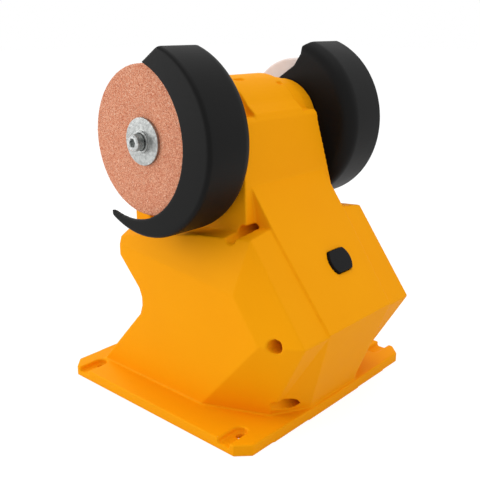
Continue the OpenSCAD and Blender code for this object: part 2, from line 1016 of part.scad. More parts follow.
// Socket head screw in each spindle end
module arbor_screws() {
    color(steel)
        for (s = [-1, 1])
            mirror([(s > 0) ? 0 : 1, 0, 0])
                difference() {
                    union() {
                        on_axis(washer_out, washer_out + arbor_head_h, arbor_head_d / 2);
                        on_axis(wheel_face - thread_len, washer_out + 1, thread_r);
                    }
                    translate([washer_out + arbor_head_h - arbor_hex_deep, axis_y, axis_z])
                        rotate([0, 90, 0])
                            cylinder(r = arbor_hex_r, h = 10, $fn = 6);
                }
}

// Guard section: radius outwards, distance along the axis upwards
module guard_section() {
    plate = guard_in + guard_plate_t;
    bend = guard_r - guard_round;
    difference() {
        union() {
            polygon([[hub_bore, guard_in], [bend, guard_in], [guard_r, guard_in + guard_round],
                [guard_r, guard_out - guard_edge], [guard_r - guard_edge, guard_out],
                [hub_bore, guard_out]]);
            translate([bend, guard_in + guard_round])
                circle(r = guard_round);
            translate([guard_r - guard_edge, guard_out - guard_edge])
                circle(r = guard_edge);
            translate([hub_bore, neck_w / 2])
                square([hub_r - hub_bore, guard_in - neck_w / 2 + 1]);
        }
        polygon([[hub_bore - 1, plate], [bend, plate],
            [guard_r - guard_rim_t, plate + guard_round - guard_rim_t],
            [guard_r - guard_rim_t, lip_in], [hub_bore - 1, lip_in]]);
        translate([bend, plate + guard_round - guard_rim_t])
            circle(r = guard_round - guard_rim_t);
    }
}

// Point on a cut across the guard: distance from the axis and way along the cut, front to back
function cut_pt(away, along) = [away * sin(cut_tilt) + along * cos(cut_tilt),
    away * cos(cut_tilt) - along * sin(cut_tilt)];

// Guard for the +X wheel, open to the +Y side
module guard_shape() {
    step_y = plate_cut / 2;
    plate_end = guard_in + guard_round + 2;
    difference() {
        translate([0, axis_y, axis_z])
            rotate([0, 90, 0])
                rotate_extrude($fn = 96)
                    guard_section();
        translate([0, axis_y, axis_z]) {
            // opening in the outer lip
            translate([lip_in - 1, lip_shift, 0])
                rotate([0, 90, 0])
                    cylinder(r = lip_r, h = 20, $fn = 96);
            // cut across the top of rim and lip
            beyond([0, cut_pt(rim_cut, 0)[0], cut_pt(rim_cut, 0)[1]], [0, sin(cut_tilt), cos(cut_tilt)]);
            // cut across the inner plate, with a step up at its front end
            translate([plate_end / 2, 0, 0])
                slab_x([cut_pt(plate_cut, 2 * guard_r), cut_pt(plate_cut, -plate_cut),
                    [-step_y, guard_r - 9.5], [-step_y, 2 * guard_r], [2 * guard_r, 2 * guard_r]],
                    plate_end);
            // front end of the horn
            translate([0, horn_y, -100])
                cube(200);
            // slanted cut that leaves the horn at the outer side
            translate([guard_in - 4, -26, -100])
                rotate([0, 0, atan2(horn_y + 26, lip_in - guard_in + 5)])
                    cube([200, 200, 70]);
        }
        for (a = guard_dirs)
            guard_screw_cut(a);
    }
}

module guard_screw_cut(a) {
    y = axis_y + guard_pcd_r * cos(a);
    z = axis_z + guard_pcd_r * sin(a);
    rod_x(20, 60, y, z, guard_screw_r + 0.3);
    rod_x(guard_seat, 60, y, z, guard_head_r + 0.4);
}

module left_guard() {
    color(dark)
        mirror([1, 0, 0])
            guard_shape();
}

module right_guard() {
    color(dark)
        guard_shape();
}

module guard_screws() {
    color(steel)
        for (s = [0, 1])
            mirror([s, 0, 0])
                for (a = guard_dirs) {
                    y = axis_y + guard_pcd_r * cos(a);
                    z = axis_z + guard_pcd_r * sin(a);
                    difference() {
                        union() {
                            rod_x(guard_seat, guard_seat + 2.2, y, z, guard_head_r);
                            rod_x(guard_boss_in + 0.3, guard_seat + 1, y, z, guard_screw_r);
                        }
                        rod_x(guard_seat + 1, guard_seat + 3, y, z, 1.2, $fn = 6);
                    }
                }
}

// Button cap with a wider collar behind the panel and a stem into the switch
module switch_button() {
    collar = -wall - 0.2;
    color(dark)
        on_panel(button_x, button_up, 0) {
            translate([0, 0, collar - 0.5])
                button_form(button_d / 2, button_flat, button_proud - collar + 0.5);
            translate([0, 0, collar - 1.5])
                button_form(button_d / 2 + 1.2, button_flat + 2.4, 1.5);
            translate([0, 0, -switch_top - stem_in])
                cylinder(r = stem_r, h = switch_top + stem_in + collar - 1);
        }
}

module switch_body() {
    deep = stem_in + button_travel + stem_gap;
    color([0.1, 0.1, 0.11])
        on_panel(button_x, button_up, -switch_top - switch_deep)
            difference() {
                translate([-switch_w / 2, -switch_h / 2, 0])
                    cube([switch_w, switch_h, switch_deep]);
                translate([0, 0, switch_deep - deep])
                    cylinder(r = stem_r + 0.1, h = deep + 1);
            }
}

// Dock plate with two lipped rails for a slide-on battery pack
module battery_dock() {
    color(dark)
        difference() {
            union() {
                on_back(-dock_end, dock_down, 0)
                    cube([dock_w, dock_len, dock_t]);
                for (s = [0, 1]) {
                    on_back(-dock_end, dock_down + s * (dock_len - rail_t), dock_t - 0.5)
                        cube([dock_w, rail_t, rail_h + 0.5]);
                    on_back(-dock_end, dock_down + s * (dock_len - rail_t - rail_lip),
                        dock_t + rail_h - rail_lip_t)
                        cube([dock_w, rail_t + rail_lip, rail_lip_t]);
                }
            }
            on_back(block_x - fit, dock_mid - block_w / 2 - fit, -5)
                cube([block_len + 2 * fit, block_w + 2 * fit, 30]);
            for (p = dock_holes)
                on_back(p[0], p[1], -1) {
                    cylinder(r = dock_screw_r + 0.25, h = 30);
                    translate([0, 0, 2])
                        cylinder(r = dock_head_r + 0.2, h = 30);
                }
        }
}

module dock_screws() {
    color(steel)
        for (p = dock_holes)
            on_back(p[0], p[1], 0)
                difference() {
                    union() {
                        translate([0, 0, 2 - dock_boss_deep])
                            cylinder(r = dock_screw_r, h = dock_boss_deep - 0.5);
                        translate([0, 0, 1])
                            cylinder(r = dock_head_r, h = 1.6);
                    }
                    translate([0, 0, 1.8])
                        cylinder(r = 1.1, h = 2, $fn = 6);
                }
}

// Block through the back wall, with a flange behind the wall
module terminal_block() {
    color([0.1, 0.1, 0.11])
        on_back(block_x, dock_mid, 0)
            difference() {
                union() {
                    translate([0, -block_w / 2, -block_deep])
                        cube([block_len, block_w, block_deep + dock_t + 5]);
                    translate([-2, -block_w / 2 - 2, -wall - 2.5])
                        cube([block_len + 4, block_w + 4, 2]);
                }
                for (d = blade_offsets)
                    translate([3, d - 0.4 - fit, dock_t + 0.6])
                        cube([block_len, 0.8 + 2 * fit, 3.4]);
            }
}

module terminal_blades() {
    color(brass)
        on_back(block_x, dock_mid, 0)
            for (d = blade_offsets)
                translate([3 + fit, d - 0.4, dock_t + 0.6 + fit])
                    cube([block_len + 5, 0.8, 3.2]);
}

module control_board() {
    color([0.12, 0.38, 0.2])
        difference() {
            translate(board_pt(0, 0, -board_t))
                cube([board_w, board_d, board_t]);
            for (p = board_pos)
                translate([p[0], p[1], board_z - 1])
                    cylinder(r = board_screw_r + 0.25, h = 4);
        }
}

// Capacitor, two power devices on a heat sink and a driver chip
module board_parts() {
    color([0.25, 0.25, 0.28]) {
        translate(board_pt(12, 12, 0))
            cylinder(r = 5, h = 13);
        translate(board_pt(20, 22, 0))
            cube([9, 9, 1.8]);
        translate(board_pt(22, 6, 0))
            cube([10, 3, 14]);
        for (x = [23, 28])
            translate(board_pt(x, 9, 0))
                cube([3.6, 1.6, 9]);
    }
}

module board_screws() {
    color(steel)
        for (p = board_pos)
            translate([p[0], p[1], board_z]) {
                translate([0, 0, -4])
                    cylinder(r = board_screw_r, h = board_t + 4.4);
                translate([0, 0, board_t])
                    cylinder(r = 2.2, h = 1.4);
            }
}

// Directions along and across a wire at one of its points
function wire_dir(p, i) = unit(p[min(i + 1, len(p) - 1)] - p[max(i - 1, 0)]);
function wire_u(p, i) = unit(cross(wire_dir(p, i), [0.31, 0.87, 0.39]));
function wire_v(p, i) = cross(wire_dir(p, i), wire_u(p, i));

// Wire with flat sides, swept through a row of points
module wire(pts) {
    n = wire_sides;
    r = wire_r;
    last = (len(pts) - 1) * n;
    polyhedron(
        points = [for (i = [0 : len(pts) - 1]) for (k = [0 : n - 1])
            pts[i] + r * cos(k * 360 / n) * wire_u(pts, i) + r * sin(k * 360 / n) * wire_v(pts, i)],
        faces = concat(
            [[for (k = [0 : n - 1]) k]],
            [[for (k = [n - 1 : -1 : 0]) last + k]],
            [for (i = [0 : len(pts) - 2]) for (k = [0 : n - 1])
                [(i + 1) * n + k, (i + 1) * n + (k + 1) % n, i * n + (k + 1) % n]],
            [for (i = [0 : len(pts) - 2]) for (k = [0 : n - 1])
                [(i + 1) * n + k, i * n + (k + 1) % n, i * n + k]]));
}

// Battery to board, and board up the neck to the first motor tab
module wires_red() {
    x = block_x + 5.5;
    down = dock_mid - 9;
    end = -can_half - cap_t - 0.5;
    color([0.75, 0.1, 0.08]) {
        wire([back_pt(x, down, -block_deep - fit), back_pt(x, down, -block_deep - 5), [-8, 10, 26],
            [10, -6, 27], board_pt(6, 26, 7.4), board_pt(6, 26, fit)]);
        wire([board_pt(34, 22, fit), board_pt(34, 22, 9.4), [24, -8, 60], [4, -12, tab_z - 19],
            [-20, -12, tab_z - 10], [end, axis_y - 9, tab_z - 5], [end, axis_y - 9, tab_z - fit]]);
    }
}

// Battery to switch, and switch up the neck to the second motor tab
module wires_black() {
    x = block_x + 5.5;
    down = dock_mid + 5;
    deep = -switch_top - switch_deep;
    end = -can_half - cap_t - 0.5;
    color([0.08, 0.08, 0.08]) {
        wire([back_pt(x, down, -block_deep - fit), back_pt(x, down, -block_deep - 5), [-14, 10, 20],
            [-8, -20, 45], panel_pt(button_x - 4, button_up, deep - 5),
            panel_pt(button_x - 4, button_up, deep - fit)]);
        wire([panel_pt(button_x + 4, button_up, deep - fit),
            panel_pt(button_x + 4, button_up, deep - 5), [6, 2, tab_z - 39], [-12, 12, tab_z - 15],
            [end, axis_y + 9, tab_z - 5], [end, axis_y + 9, tab_z - fit]]);
    }
}

left_housing();
right_housing();
housing_screws();
motor_can();
motor_magnets();
drive_cap();
brush_cap();
brush_holders();
carbon_brushes();
motor_tabs();
outer_races();
inner_races();
bearing_balls();
spindle();
rotor_core();
rotor_windings();
commutator();
inner_flanges();
grinding_wheel();
polishing_wheel();
outer_washers();
arbor_screws();
left_guard();
right_guard();
guard_screws();
switch_button();
switch_body();
battery_dock();
dock_screws();
terminal_block();
terminal_blades();
control_board();
board_parts();
board_screws();
wires_red();
wires_black();
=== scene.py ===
# %% [markdown]
# A small cordless bench grinder, dressed in Blender
# The CAD model holds every solid at its real size: two body halves, a motor, two
# wheels, two guards, a push button and a battery dock. This script loads that model as
# a fixed frame and gives each piece the surface of the real thing. Sizes are metres.

# %% Load the frame
import json
import math

import bmesh
import bpy
from mathutils import Matrix, Vector


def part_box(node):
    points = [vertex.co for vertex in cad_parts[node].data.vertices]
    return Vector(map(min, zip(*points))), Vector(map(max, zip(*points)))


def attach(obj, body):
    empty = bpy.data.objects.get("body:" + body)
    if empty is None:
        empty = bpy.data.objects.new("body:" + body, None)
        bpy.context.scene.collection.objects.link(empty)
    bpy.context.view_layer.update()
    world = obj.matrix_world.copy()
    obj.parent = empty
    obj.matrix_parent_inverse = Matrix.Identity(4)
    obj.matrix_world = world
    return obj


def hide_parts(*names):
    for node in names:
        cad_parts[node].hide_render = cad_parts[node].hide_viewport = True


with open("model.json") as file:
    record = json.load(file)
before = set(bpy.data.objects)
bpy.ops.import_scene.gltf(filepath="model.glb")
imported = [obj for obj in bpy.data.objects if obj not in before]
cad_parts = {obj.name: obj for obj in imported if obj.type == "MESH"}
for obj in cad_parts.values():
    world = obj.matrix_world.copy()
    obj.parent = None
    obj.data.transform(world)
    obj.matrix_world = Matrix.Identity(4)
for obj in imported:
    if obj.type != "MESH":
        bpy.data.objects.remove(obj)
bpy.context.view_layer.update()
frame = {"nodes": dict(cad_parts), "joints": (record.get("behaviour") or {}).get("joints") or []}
nodes = frame["nodes"]
MM = 0.001

# %% [markdown]
# Writing shaders as sums
# A finish is a small network of nodes. Wiring it by hand is long, so one class wraps a
# socket and turns + - * into Math nodes, and one method adds any other node. The
# material functions below then read like formulas.


# %% A socket that can be added and multiplied
class Value:
    def __init__(self, finish, socket):
        self.finish = finish
        self.socket = socket

    def math(self, operation, first, second):
        return self.finish.add("ShaderNodeMath", {"operation": operation}, {0: first, 1: second})

    def __add__(self, other):
        return self.math("ADD", self, other)

    def __radd__(self, other):
        return self.math("ADD", other, self)

    def __sub__(self, other):
        return self.math("SUBTRACT", self, other)

    def __rsub__(self, other):
        return self.math("SUBTRACT", other, self)

    def __mul__(self, other):
        return self.math("MULTIPLY", self, other)

    def __rmul__(self, other):
        return self.math("MULTIPLY", other, self)


# %% A finish: one material and its nodes
class Finish:
    def __init__(self, name):
        self.material = bpy.data.materials.new(name)
        self.material.use_nodes = True
        self.tree = self.material.node_tree
        self.tree.nodes.clear()
        self.where = self.add("ShaderNodeTexCoord", output="Object")

    def add(self, kind, settings=None, inputs=None, output=0):
        node = self.tree.nodes.new(kind)
        for name, value in (settings or {}).items():
            if name == "stops":
                self.set_stops(node.color_ramp, value)
            else:
                setattr(node, name, value)
        for name, value in (inputs or {}).items():
            if isinstance(value, Value):
                self.tree.links.new(value.socket, node.inputs[name])
            else:
                node.inputs[name].default_value = value
        return Value(self, node.outputs[output])

    def set_stops(self, ramp, stops):
        while len(ramp.elements) < len(stops):
            ramp.elements.new(1.0)
        for element, (place, level) in zip(ramp.elements, stops):
            element.position = place
            element.color = (level, level, level, 1.0)

    def noise(self, size, detail=2.0, roughness=0.5, where=None):
        return self.add("ShaderNodeTexNoise", inputs={"Vector": where or self.where,
            "Scale": 1.0 / size, "Detail": detail, "Roughness": roughness})

    def grain(self, size, output="Distance"):
        return self.add("ShaderNodeTexVoronoi", inputs={"Vector": self.where,
            "Scale": 1.0 / size}, output=output)

    def ramp(self, value, *stops):
        return self.add("ShaderNodeValToRGB", {"stops": stops}, {"Fac": value})

    def mix(self, factor, first, second):
        return self.add("ShaderNodeMix", {"data_type": "RGBA"},
            {0: factor, 6: first, 7: second}, 2)

    def bump(self, height, distance, strength):
        return self.add("ShaderNodeBump", inputs={"Height": height, "Distance": distance,
            "Strength": strength}, output="Normal")

    def close(self, **sockets):
        shader = self.add("ShaderNodeBsdfPrincipled",
            inputs={name.replace("_", " "): value for name, value in sockets.items()})
        out = self.tree.nodes.new("ShaderNodeOutputMaterial")
        self.tree.links.new(shader.socket, out.inputs["Surface"])
        return self.material


def tone(red, green, blue):
    """A screen colour from 0 to 255 as the linear colour that a shader wants."""
    def linear(level):
        level = level / 255
        return level / 12.92 if level <= 0.04045 else ((level + 0.055) / 1.055) ** 2.4
    return (linear(red), linear(green), linear(blue), 1.0)


print("shader helpers ready")

# %% [markdown]
# Moulded plastics
# The body is matte orange plastic. Close up, such a moulding has a very fine even
# texture from the mould, and its colour drifts a little where the melt cooled at
# different speeds. Two noises do that: a wide one for colour and gloss, and a fine one
# for bump. The guards are the same idea in near black, with more sheen.


# %% Orange body plastic
def body_plastic():
    f = Finish("body_orange")
    drift = f.noise(45 * MM, 2.0)
    mould = f.noise(0.5 * MM, 3.0, 0.6)
    colour = f.mix(drift, tone(245, 158, 4), tone(250, 166, 8))
    return f.close(Base_Color=colour, Roughness=0.5 + 0.1 * drift,
        Normal=f.bump(mould, 0.05 * MM, 0.35), Specular_IOR_Level=0.04)


# %% Black plastics
def black_plastic(name, dark, light, roughness, texture):
    f = Finish(name)
    drift = f.noise(22 * MM, 3.0)
    mould = f.noise(texture, 3.0, 0.65)
    colour = f.mix(drift, dark, light)
    return f.close(Base_Color=colour, Roughness=roughness + 0.12 * drift,
        Normal=f.bump(mould, 0.05 * MM, 0.5), Specular_IOR_Level=0.09)


orange = body_plastic()
guard_black = black_plastic("guard_black", tone(17, 17, 17), tone(22, 22, 22), 0.42, 0.6 * MM)
button_black = black_plastic("button_black", tone(18, 18, 19), tone(25, 25, 26), 0.5, 0.35 * MM)
dock_black = black_plastic("dock_black", tone(24, 24, 25), tone(32, 32, 33), 0.48, 0.5 * MM)
print("plastics:", orange.name, guard_black.name, button_black.name, dock_black.name)

# %% [markdown]
# Abrasive and felt
# The near wheel is bonded abrasive: salmon grains in a paler bond, with small pores that
# are set lower in the bump and painted darker, a painted shade in the holes. Voronoi cells
# make the grains, each with its own tone, and the palest few carry a painted glint, a
# painted highlight on random grains. The far wheel is pale and soft, so it gets a fibrous
# noise and no gloss.


# %% Salmon abrasive
def abrasive_finish():
    f = Finish("abrasive_salmon")
    grain_size = 0.42 * MM
    cell = f.grain(grain_size, "Color")
    shade = f.add("ShaderNodeSeparateColor", inputs={"Color": cell}, output="Red")
    cloud = f.noise(2.5 * MM, 3.0, 0.7)
    # Pores: holes set lower by the bump below, and painted darker as painted shade.
    pores_with_painted_shade = f.ramp(f.noise(0.6 * MM, 2.0, 0.6), (0.32, 1.0), (0.40, 0.0))
    pale = f.mix(cloud, tone(226, 157, 122), tone(236, 175, 142))
    grains = f.mix(f.ramp(shade, (0.2, 0.0), (0.8, 1.0)), pale, tone(201, 119, 86))
    # Painted glints: the palest few grains are lifted towards near white, a painted highlight.
    painted_glints = f.ramp(shade, (0.06, 1.0), (0.12, 0.0))
    grains_with_painted_glints = f.mix(0.7 * painted_glints, grains, tone(240, 196, 170))
    # Painted shade: the pores are darkened in the colour.
    colour = f.mix(0.6 * pores_with_painted_shade, grains_with_painted_glints, tone(150, 84, 64))
    height = f.grain(grain_size) - 0.6 * pores_with_painted_shade
    return f.close(Base_Color=colour, Roughness=0.92 - 0.1 * cloud,
        Normal=f.bump(height, 0.22 * MM, 0.7), IOR=1.4)


# %% Pale felt
def felt_finish():
    f = Finish("felt_pale")
    cloud = f.noise(6 * MM, 3.0)
    fibre = f.noise(0.7 * MM, 4.0, 0.75)
    colour = f.mix(cloud, tone(222, 208, 203), tone(236, 226, 221))
    return f.close(Base_Color=colour, Roughness=0.95 - 0.05 * cloud,
        Normal=f.bump(fibre, 0.3 * MM, 0.6), IOR=1.35)


abrasive = abrasive_finish()
felt = felt_finish()
print("wheel finishes:", abrasive.name, felt.name)

# %% [markdown]
# Metals
# Washers, screws and shafts are steel, turned or stamped, and the arbor screws are the
# brightest. Turned metal has fine rings round its axis. The wheels' axis runs along X
# here, so the rings come from the distance to that axis, which the Object coordinates
# give after a shift to the spindle's height.


# %% Metal finishes
def turned_metal(name, dark, light, roughness, ring, height):
    f = Finish(name)
    along_axis = 0.02
    moved = f.add("ShaderNodeMapping", inputs={"Vector": f.where, "Location": (0, 0, -height),
        "Scale": (along_axis, 1, 1)})
    reach = f.add("ShaderNodeVectorMath", {"operation": "LENGTH"}, {0: moved}, "Value")
    rings = f.noise(ring, 2.0, 0.6, f.add("ShaderNodeCombineXYZ", inputs={0: reach}))
    stain = f.noise(1.6 * MM, 4.0, 0.65)
    colour = f.mix(f.ramp(stain, (0.3, 0.0), (0.7, 1.0)), dark, light)
    return f.close(Base_Color=colour, Metallic=1.0,
        Roughness=roughness + 0.12 * rings + 0.14 * stain,
        Normal=f.bump(rings + 0.8 * stain, 0.03 * MM, 0.45))


def cast_metal(name, dark, light, roughness, metallic=1.0):
    f = Finish(name)
    stain = f.noise(4 * MM, 3.0)
    pits = f.noise(0.5 * MM, 2.0)
    colour = f.mix(stain, dark, light)
    return f.close(Base_Color=colour, Metallic=metallic, Roughness=roughness + 0.15 * stain,
        Normal=f.bump(pits, 0.04 * MM, 0.4))


spindle_height = frame["joints"][0]["pos_m"][2]
zinc = turned_metal("zinc_steel", tone(132, 134, 133), tone(186, 188, 186), 0.3,
    0.35 * MM, spindle_height)
bright_zinc = turned_metal("bright_zinc", tone(158, 160, 159), tone(208, 210, 209), 0.12,
    0.35 * MM, spindle_height)
steel = turned_metal("plain_steel", tone(150, 151, 154), tone(180, 181, 184), 0.28,
    0.4 * MM, spindle_height)
alloy = cast_metal("cast_alloy", tone(176, 176, 172), tone(196, 196, 192), 0.42)
brass = cast_metal("brass_strip", tone(196, 160, 84), tone(218, 186, 112), 0.3)
copper = cast_metal("copper_wire", tone(176, 104, 66), tone(204, 132, 90), 0.34)
ferrite = cast_metal("ferrite", tone(52, 52, 55), tone(70, 70, 73), 0.6, 0.0)
carbon = cast_metal("carbon", tone(38, 38, 39), tone(56, 56, 57), 0.7, 0.0)
print("metals:", ", ".join(metal.name for metal in (zinc, bright_zinc, steel, alloy, brass,
    copper, ferrite, carbon)))

# %% [markdown]
# Board and wires
# The control board is lacquered and the wires have rubber skins. Both are smooth with a
# slight drift in colour, so one function with two noises serves them all.


# %% Small inner finishes
def coated(name, dark, light, roughness):
    f = Finish(name)
    drift = f.noise(3 * MM, 3.0)
    fine = f.noise(0.3 * MM, 2.0)
    colour = f.mix(drift, dark, light)
    return f.close(Base_Color=colour, Roughness=roughness + 0.1 * drift,
        Normal=f.bump(fine, 0.03 * MM, 0.3))


board_green = coated("board_green", tone(28, 92, 50), tone(40, 112, 64), 0.35)
board_dark = coated("board_dark", tone(40, 40, 44), tone(58, 58, 62), 0.45)
red_rubber = coated("red_insulation", tone(168, 24, 20), tone(190, 36, 30), 0.5)
black_rubber = coated("black_insulation", tone(28, 28, 28), tone(40, 40, 40), 0.5)
print("inner finishes:", board_green.name, board_dark.name, red_rubber.name, black_rubber.name)

# %% [markdown]
# Soft edges on hard mouldings
# CAD edges are perfectly sharp, and nothing moulded is. The edges here cross holes and
# narrow steps, where cutting a bevel goes wrong. Each shown moulding is therefore copied,
# rebuilt on a fine even grid, smoothed for a few rounds and thinned out again where it is
# flat. Every edge, rim and inner corner comes out soft, by about one or two grid steps.


# %% Helpers for new pieces
def applied(piece):
    """Keeps what a piece's modifiers make of it as its own plain mesh."""
    graph = bpy.context.evaluated_depsgraph_get()
    mesh = bpy.data.meshes.new_from_object(piece.evaluated_get(graph))
    piece.modifiers.clear()
    piece.data = mesh
    return piece


def finished(name, mesh, sharp_from=32):
    """A new object at the origin, smooth except at edges past an angle, flat faces kept flat."""
    mesh.shade_smooth()
    mesh.set_sharp_from_angle(angle=math.radians(sharp_from))
    piece = bpy.data.objects.new(name, mesh)
    bpy.context.scene.collection.objects.link(piece)
    weigh = piece.modifiers.new("weigh", "WEIGHTED_NORMAL")
    weigh.keep_sharp = True
    return applied(piece)


def dress(piece, material, body, slot, *replaced):
    """Gives a piece its finish, its body and the CAD nodes that it stands for."""
    piece.data.materials.clear()
    piece.data.materials.append(material)
    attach(piece, body)
    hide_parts(*replaced)
    return piece


# %% Copy CAD nodes with soft edges
def soft_copy(names, grid, rounds, share):
    """One smoothed mesh of some CAD nodes, without the faces where two halves meet at x = 0."""
    on_seam = 0.01 * MM
    work = bmesh.new()
    for name in names:
        work.from_mesh(nodes[name].data)
    if len(names) > 1:
        seam = [f for f in work.faces if all(abs(v.co.x) < on_seam for v in f.verts)]
        bmesh.ops.delete(work, geom=seam, context="FACES")
        bmesh.ops.remove_doubles(work, verts=work.verts, dist=2 * on_seam)
    mesh = bpy.data.meshes.new("soft")
    work.to_mesh(mesh)
    work.free()
    copy = bpy.data.objects.new("soft", mesh)
    bpy.context.scene.collection.objects.link(copy)
    rebuild = copy.modifiers.new("rebuild", "REMESH")
    rebuild.mode = "VOXEL"
    rebuild.voxel_size = grid
    relax = copy.modifiers.new("relax", "SMOOTH")
    relax.factor = 0.5
    relax.iterations = rounds
    thin = copy.modifiers.new("thin", "DECIMATE")
    thin.ratio = share
    mesh = applied(copy).data
    bpy.data.objects.remove(copy)
    return mesh


def half_of(mesh, side):
    """The part of a mesh on one side of the middle, closed where it was cut."""
    work = bmesh.new()
    work.from_mesh(mesh)
    bmesh.ops.bisect_plane(work, geom=work.verts[:] + work.edges[:] + work.faces[:],
        plane_co=(0, 0, 0), plane_no=(side, 0, 0), clear_inner=True, dist=0.001 * MM)
    rim = [e for e in work.edges if len(e.link_faces) == 1]
    bmesh.ops.triangle_fill(work, edges=rim, use_beauty=True)
    bmesh.ops.recalc_face_normals(work, faces=work.faces)
    half = bpy.data.meshes.new("half")
    work.to_mesh(half)
    work.free()
    return half


# %% Body halves
smooth_rounds = 4
skin_sharp_from = 55
whole_body = soft_copy(("left_housing", "right_housing"), 0.55 * MM, smooth_rounds, 0.1)
for name, side in (("left_housing", -1), ("right_housing", 1)):
    skin = finished(name + "_skin", half_of(whole_body, side), skin_sharp_from)
    dress(skin, orange, "frame", "orange_plastic", name)
    print(name, "faces:", len(skin.data.polygons))

# %% Guards, button and dock
for name, grid, share, finish, body in (
        ("left_guard", 0.5 * MM, 0.2, guard_black, "frame"),
        ("right_guard", 0.5 * MM, 0.2, guard_black, "frame"),
        ("switch_button", 0.22 * MM, 0.2, button_black, "button"),
        ("battery_dock", 0.4 * MM, 0.12, dock_black, "frame")):
    skin = finished(name + "_skin", soft_copy((name,), grid, smooth_rounds, share),
        skin_sharp_from)
    dress(skin, finish, body, "black_plastic", name)
    print(name, "faces:", len(skin.data.polygons))

# %% [markdown]
# Turned pieces
# Wheels and washers are shapes of revolution. A section is drawn in radius and distance
# along the axis, with its corners cut round, and spun about the spindle. The sizes are
# measured on the CAD meshes. The pale wheel comes first.


# %% Spin a profile about the spindle
def rounded_corners(corners, radius, steps=4):
    """Replaces each corner of a closed outline by a short arc."""
    points = []
    for i, corner in enumerate(corners):
        here = Vector(corner)
        before = (Vector(corners[i - 1]) - here).normalized()
        after = (Vector(corners[(i + 1) % len(corners)]) - here).normalized()
        for k in range(steps + 1):
            t = k / steps
            points.append(here + radius * ((1 - t) ** 2 * before + t ** 2 * after))
    return points


def spun_ring(outline, steps=128):
    """Ring round the spindle from (distance along X, radius) points."""
    work = bmesh.new()
    rings = []
    for k in range(steps):
        angle = 2 * math.pi * k / steps
        rings.append([work.verts.new((x, r * math.cos(angle),
            spindle_height + r * math.sin(angle))) for x, r in outline])
    for k, ring in enumerate(rings):
        other = rings[(k + 1) % steps]
        for i in range(len(ring)):
            j = (i + 1) % len(ring)
            work.faces.new((ring[i], ring[j], other[j], other[i]))
    bmesh.ops.recalc_face_normals(work, faces=work.faces)
    return work


def ring_sizes(name):
    """Near and far end along X, outer radius and inner radius of a ring-shaped CAD node."""
    low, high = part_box(name)
    points = [v.co for v in nodes[name].data.vertices]
    inner = min(math.hypot(p.y, p.z - spindle_height) for p in points)
    near = min(abs(p.x) for p in points)
    far = max(abs(p.x) for p in points)
    return near, far, (high.y - low.y) / 2, inner


def plain_ring(near, far, outer, inner):
    """Corners of a ring's section, as (distance along X, radius) points."""
    return [(near, inner), (near, outer), (far, outer), (far, inner)]


def ring_piece(name, corners, edge, sides):
    outline = rounded_corners(corners, edge)
    mesh = bpy.data.meshes.new(name)
    work = bmesh.new()
    for side in sides:
        ring = spun_ring([(side * p.x, p.y) for p in outline])
        part = bpy.data.meshes.new("ring")
        ring.to_mesh(part)
        ring.free()
        work.from_mesh(part)
        bpy.data.meshes.remove(part)
    work.to_mesh(mesh)
    work.free()
    return finished(name, mesh)


felt_edge = 1.6 * MM
pale_wheel = ring_piece("polishing_wheel_felt", plain_ring(*ring_sizes("polishing_wheel")),
    felt_edge, (1,))
dress(pale_wheel, felt, "rotor", "felt", "polishing_wheel")
print("pale wheel faces:", len(pale_wheel.data.polygons))

# %% [markdown]
# Washers with a collar
# Each washer is a flat steel disc with a low collar round the screw head, which catches
# the light as a bright ring. The collar is a step in the same spun section, and it leaves
# a narrow gap round the head.

# %% Washers
head_r = max(math.hypot(v.co.y, v.co.z - spindle_height)
    for v in nodes["arbor_screws"].data.vertices)
washer_edge = 0.25 * MM
collar_gap = 0.15 * MM
collar_r = 5.6 * MM
collar_high = 1.2 * MM
near, washer_face, outer, inner = ring_sizes("outer_washers")
collar_top = washer_face + collar_high
stepped = [(near, inner), (near, outer), (washer_face, outer), (washer_face, collar_r),
    (collar_top, collar_r), (collar_top, head_r + collar_gap), (washer_face, head_r + collar_gap),
    (washer_face, inner)]
washers = ring_piece("outer_washers_stamped", stepped, washer_edge, (-1, 1))
dress(washers, zinc, "rotor", "zinc_steel", "outer_washers")
print("washer radius and collar radius in mm:", round(outer / MM, 2), round(collar_r / MM, 2))

# %% [markdown]
# Grit on the grinding wheel
# A bonded wheel is not smooth: grains stand out of it all over. Modelling each by hand
# is hopeless, so Geometry Nodes scatter small crystals over the wheel's own faces with a
# fixed seed. Each is a small faceted ball, turned and sized at random.


# %% Geometry Nodes helpers
class Tree:
    def __init__(self, name):
        self.group = bpy.data.node_groups.new(name, "GeometryNodeTree")
        self.group.is_modifier = True
        for way in ("INPUT", "OUTPUT"):
            self.group.interface.new_socket("Geometry", in_out=way,
                socket_type="NodeSocketGeometry")
        self.start = self.group.nodes.new("NodeGroupInput")
        self.end = self.group.nodes.new("NodeGroupOutput")

    def size(self, name, kind="NodeSocketFloat"):
        self.group.interface.new_socket(name, in_out="INPUT", socket_type=kind)
        return self.start.outputs[name]

    def add(self, kind, settings=None, inputs=None, output=0):
        node = self.group.nodes.new(kind)
        for name, value in (settings or {}).items():
            setattr(node, name, value)
        for name, value in (inputs or {}).items():
            if isinstance(value, bpy.types.NodeSocket):
                self.group.links.new(value, node.inputs[name])
            else:
                node.inputs[name].default_value = value
        return node.outputs[output]

    def join(self, *parts):
        node = self.group.nodes.new("GeometryNodeJoinGeometry")
        for part in parts:
            self.group.links.new(part, node.inputs["Geometry"])
        return node.outputs["Geometry"]

    def close(self, geometry, material):
        whole = self.add("GeometryNodeRealizeInstances", inputs={"Geometry": geometry})
        done = self.add("GeometryNodeSetMaterial", inputs={"Geometry": whole,
            "Material": material})
        self.group.links.new(done, self.end.inputs["Geometry"])
        return self.group


def grown(piece, group, sizes):
    """Runs a tree on a piece and keeps the result as a plain mesh."""
    modifier = piece.modifiers.new("grow", "NODES")
    modifier.node_group = group
    for item in group.interface.items_tree:
        if item.in_out == "INPUT" and item.name in sizes:
            modifier[item.identifier] = sizes[item.name]
    return applied(piece)


